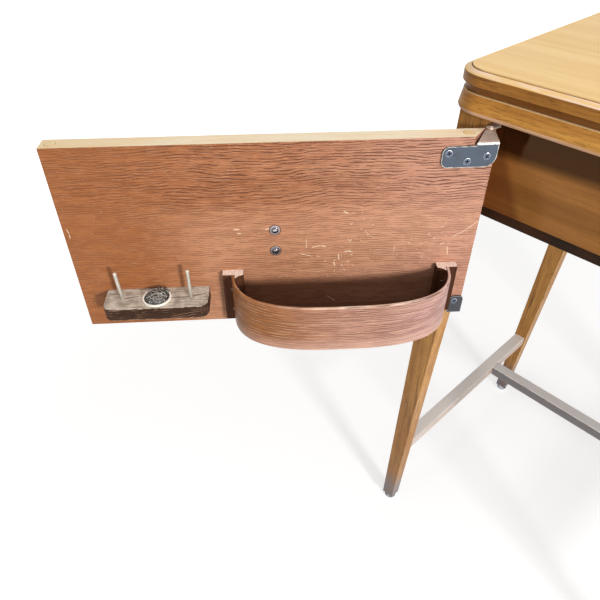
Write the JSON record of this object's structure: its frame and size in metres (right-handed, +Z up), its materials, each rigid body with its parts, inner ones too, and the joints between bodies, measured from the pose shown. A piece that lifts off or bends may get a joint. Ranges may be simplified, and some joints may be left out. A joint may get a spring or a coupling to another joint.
{
  "type": "sewing machine cabinet",
  "caption": "Small sewing machine cabinet: splayed tapered legs, a fold-over top, a machine well, and a swing-out front door with a bentwood tray and spool pins inside.",
  "frame": {"origin": "on the floor, under the middle of the closed table top", "axes": "+X to the right seen from the front, +Y from the front to the back, +Z up"},
  "size_m": [0.7534, 0.7662, 0.775],
  "materials": {
    "field_veneer": "satin lacquer",
    "top_edge_wood": "satin lacquer, worn",
    "leaf_wood": "satin lacquer",
    "leg_wood": "satin lacquer, worn",
    "apron_veneer": "gloss lacquer",
    "dark_rail": "satin lacquer",
    "plain_wood": "unfinished",
    "stretcher_wood": "worn lacquer",
    "door_wood": "open grain, worn lacquer",
    "plug_wood": "end grain",
    "spool_wood": "weathered",
    "tray_wood": "satin lacquer",
    "tray_block_wood": "satin lacquer, worn",
    "hinge_steel": "blued, worn",
    "bright_steel": "satin",
    "screw_steel": "dull",
    "brass": "satin",
    "machine_hinge_iron": "satin",
    "spool_pin_metal": "satin",
    "cup_plastic": "gloss",
    "wire_wool": "fine wire",
    "glide_chrome": "polished, worn"
  },
  "bodies": {
    "cabinet": {"lower_leaf_panel": "leaf_wood", "lower_leaf_lipping": "leaf_wood", "leaf_hinges_lower": "brass", "leaf_hinge_pins": "brass", "leaf_hinge_screws_lower": "brass", "leg_front_left": "leg_wood", "leg_front_right": "leg_wood", "leg_back_left": "leg_wood", "leg_back_right": "leg_wood", "foot_glides": "glide_chrome", "side_apron_left": "apron_veneer", "side_apron_right": "apron_veneer", "back_apron": "apron_veneer", "front_apron": "apron_veneer", "front_rail": "dark_rail", "corner_blocks": "plain_wood", "side_stretcher_left": "stretcher_wood", "side_stretcher_right": "stretcher_wood", "centre_stretcher": "stretcher_wood", "bed_rest_blocks": "plain_wood", "head_hinge_plates": "machine_hinge_iron", "head_hinge_pins": "bright_steel", "head_hinge_screws": "screw_steel", "door_hanger_top": "bright_steel", "door_hanger_bottom": "hinge_steel", "door_hinge_pins": "bright_steel", "door_hinge_washers": "brass", "hanger_screws": "screw_steel", "catch_strike": "bright_steel"},
    "upper_leaf": {"upper_leaf_panel": "field_veneer", "upper_leaf_rim": "top_edge_wood", "leaf_hinges_upper": "brass", "leaf_hinge_screws_upper": "brass"},
    "door": {"door_panel": "door_wood", "door_plugs": "plug_wood", "door_hinge_top": "hinge_steel", "door_hinge_bottom": "hinge_steel", "door_hinge_screws": "screw_steel", "door_pull": "leaf_wood", "pull_bolts": "screw_steel", "pull_washers": "screw_steel", "door_catch": "bright_steel", "spool_block": "spool_wood", "spool_pins": "spool_pin_metal", "pin_cup": "cup_plastic", "pin_wool": "wire_wool", "tray_band": "tray_wood", "tray_bottom": "tray_block_wood", "tray_block_outer": "tray_block_wood", "tray_block_inner": "tray_block_wood", "tray_nails": "screw_steel"},
    "head_arm_left": {"head_arm_left": "machine_hinge_iron"},
    "head_arm_right": {"head_arm_right": "machine_hinge_iron"}
  },
  "joints": [
    {"name": "door_swing", "type": "hinge", "parent": "cabinet", "child": "door", "pos_m": [-0.2115, -0.2084, 0.6161], "axis": [0, 0, 1], "range_deg": [-20, 129.7]},
    {"name": "leaf_fold", "type": "hinge", "parent": "cabinet", "child": "upper_leaf", "pos_m": [-0.2608, 0, 0.7533], "axis": [0, -1, 0], "range_deg": [0, 180]},
    {"name": "head_hinge_left", "type": "hinge", "parent": "cabinet", "child": "head_arm_left", "pos_m": [-0.127, 0.099, 0.7477], "axis": [-1, 0, 0], "range_deg": [-10, 90]},
    {"name": "head_hinge_right", "type": "hinge", "parent": "cabinet", "child": "head_arm_right", "pos_m": [0.127, 0.099, 0.7477], "axis": [-1, 0, 0], "range_deg": [-10, 90]}
  ]
}
